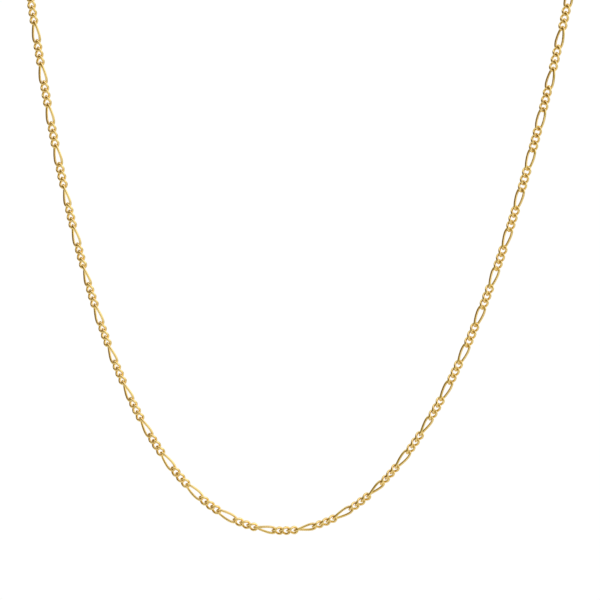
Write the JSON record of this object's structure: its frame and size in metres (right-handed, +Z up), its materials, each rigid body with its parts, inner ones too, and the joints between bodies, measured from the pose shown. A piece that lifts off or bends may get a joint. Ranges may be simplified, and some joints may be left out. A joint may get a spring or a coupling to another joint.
{
  "type": "twisted chain necklace",
  "caption": "Fine gold necklace of twisted oval links, short ones alternating with longer ones, hanging in a deep curve from the nape, with a spring-ring clasp.",
  "frame": {"origin": "the middle of the clasp's ring, where the necklace lies against the nape", "axes": "+X across the neck towards the picture's right, -Y out of the front of the neck, +Z up"},
  "size_m": [0.121, 0.0587, 0.1483],
  "materials": {
    "gold": "polished yellow gold"
  },
  "bodies": {
    "root": {"chain_left": "gold", "chain_right": "gold", "nape_left": "gold", "nape_right": "gold", "clasp": "gold", "end_ring": "gold"}
  },
  "joints": []
}
